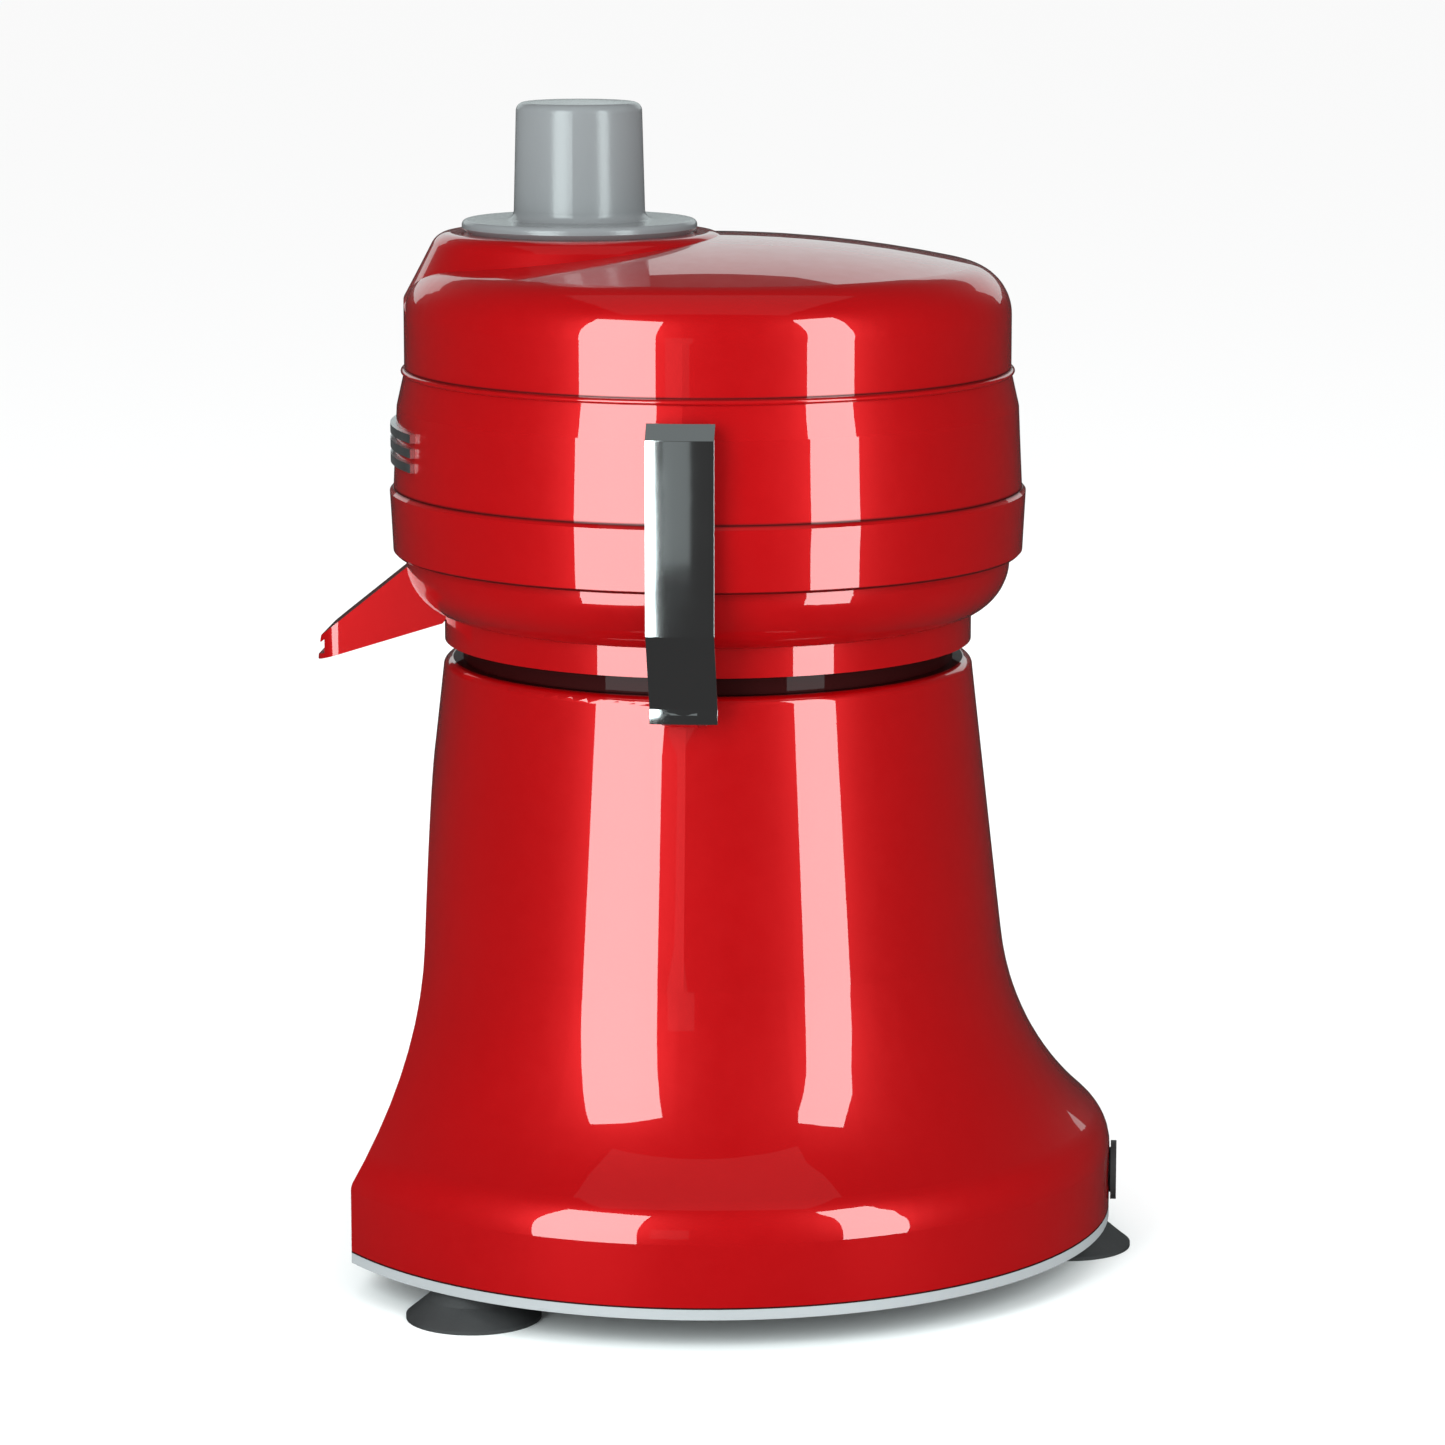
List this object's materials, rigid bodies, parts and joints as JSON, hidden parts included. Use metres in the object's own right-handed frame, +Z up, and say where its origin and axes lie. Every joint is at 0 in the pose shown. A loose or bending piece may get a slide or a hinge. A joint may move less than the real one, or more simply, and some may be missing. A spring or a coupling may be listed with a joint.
{
  "type": "centrifugal juice extractor",
  "caption": "Juice extractor with a bell-shaped motor base on suction feet, a bowl with a spout, a spinning sieve, a domed lid with a feed chute and pusher, and side clamps.",
  "frame": {"origin": "at table level, midway between the spout's tip and the back of the rear foot; the motor's axis stands 7.1 mm in front of it, at y = -0.0071", "axes": "+Z up along the motor's axis, -Y towards the spout and the switch, +X to the right-hand clamp seen from behind"},
  "size_m": [0.28, 0.2808, 0.3965],
  "materials": {
    "red_shell": "glossy deep red",
    "grey_plastic": "satin light grey",
    "trim_grey": "satin pale grey",
    "black_rubber": "matt black",
    "black_plastic": "satin black",
    "dark_plastic": "satin dark grey",
    "clamp_chrome": "polished",
    "strip_chrome": "polished",
    "steel": "plain",
    "sieve_steel": "satin",
    "motor_iron": "laminated",
    "bracket_alloy": "as cast",
    "copper": "enamelled winding",
    "carbon": "matt",
    "board": "satin green",
    "capacitor": "glossy"
  },
  "bodies": {
    "base": {"base_housing": "red_shell", "base_trim": "trim_grey", "base_plate": "dark_plastic", "foot_left": "black_rubber", "foot_right": "black_rubber", "foot_rear": "black_rubber", "base_plate_screws": "steel", "cord_gland": "black_rubber", "front_switch_body": "black_plastic", "speed_control_board": "board", "interlock_switch": "black_plastic", "suppression_capacitor": "capacitor", "stator_core": "motor_iron", "field_coils": "copper", "upper_motor_bracket": "bracket_alloy", "lower_motor_bracket": "bracket_alloy", "motor_tie_bolts": "steel", "motor_dampers": "black_rubber", "motor_mount_screws": "steel", "upper_bearing": "steel", "lower_bearing": "steel", "brush_holders": "dark_plastic", "carbon_brushes": "carbon", "shaft_seal": "black_rubber", "clamp_bracket_left": "steel", "clamp_bracket_right": "steel", "clamp_pin_left": "steel", "clamp_pin_right": "steel"},
    "rotor": {"motor_shaft": "steel", "armature_core": "motor_iron", "armature_windings": "copper", "commutator": "copper", "cooling_fan": "dark_plastic", "drive_hub": "black_plastic"},
    "bowl": {"juice_bowl": "red_shell"},
    "basket": {"basket_hub": "dark_plastic", "strainer_basket": "sieve_steel", "grating_disc": "sieve_steel", "basket_nut": "black_plastic"},
    "collector": {"pulp_collector": "grey_plastic"},
    "lid": {"lid_shell": "red_shell", "lid_gasket": "black_rubber", "lid_badge_strips": "strip_chrome"},
    "pusher": {"pusher_grip": "grey_plastic", "pusher_plunger": "grey_plastic"},
    "clamp_left": {"clamp_arm_left": "clamp_chrome", "clamp_pad_left": "black_rubber"},
    "clamp_right": {"clamp_arm_right": "clamp_chrome", "clamp_pad_right": "black_rubber"},
    "switch": {"switch_rocker": "dark_plastic"}
  },
  "joints": [
    {"name": "rotor_spin", "type": "hinge", "parent": "base", "child": "rotor", "pos_m": [0, -0.0071, 0.15], "axis": [0, 0, 1], "continuous": true},
    {"name": "bowl_lift", "type": "slide", "parent": "base", "child": "bowl", "axis": [0, 0, 1], "range_m": [0, 0.05]},
    {"name": "basket_spin", "type": "hinge", "parent": "bowl", "child": "basket", "pos_m": [0, -0.0071, 0.25], "axis": [0, 0, 1], "continuous": true},
    {"name": "collector_lift", "type": "slide", "parent": "bowl", "child": "collector", "axis": [0, 0, 1], "range_m": [0, 0.07]},
    {"name": "lid_lift", "type": "slide", "parent": "collector", "child": "lid", "axis": [0, 0, 1], "range_m": [0, 0.08], "deforming": ["clamp_pad_left", "clamp_pad_right"]},
    {"name": "pusher_slide", "type": "slide", "parent": "lid", "child": "pusher", "axis": [0, 0, 1], "range_m": [0, 0.1]},
    {"name": "clamp_right_swing", "type": "hinge", "parent": "base", "child": "clamp_right", "pos_m": [0.0962, -0.0071, 0.203], "axis": [0, 1, 0], "range_deg": [0, 65]},
    {"name": "clamp_left_swing", "type": "hinge", "parent": "base", "child": "clamp_left", "pos_m": [-0.0962, -0.0071, 0.203], "axis": [0, -1, 0], "range_deg": [0, 65]},
    {"name": "switch_rock", "type": "hinge", "parent": "base", "child": "switch", "pos_m": [0, -0.10044, 0.06801], "axis": [-1, 0, 0], "range_deg": [0, 18]}
  ],
  "couplings": [
    {"joint": "basket_spin", "follows": "rotor_spin", "ratio": 1}
  ]
}
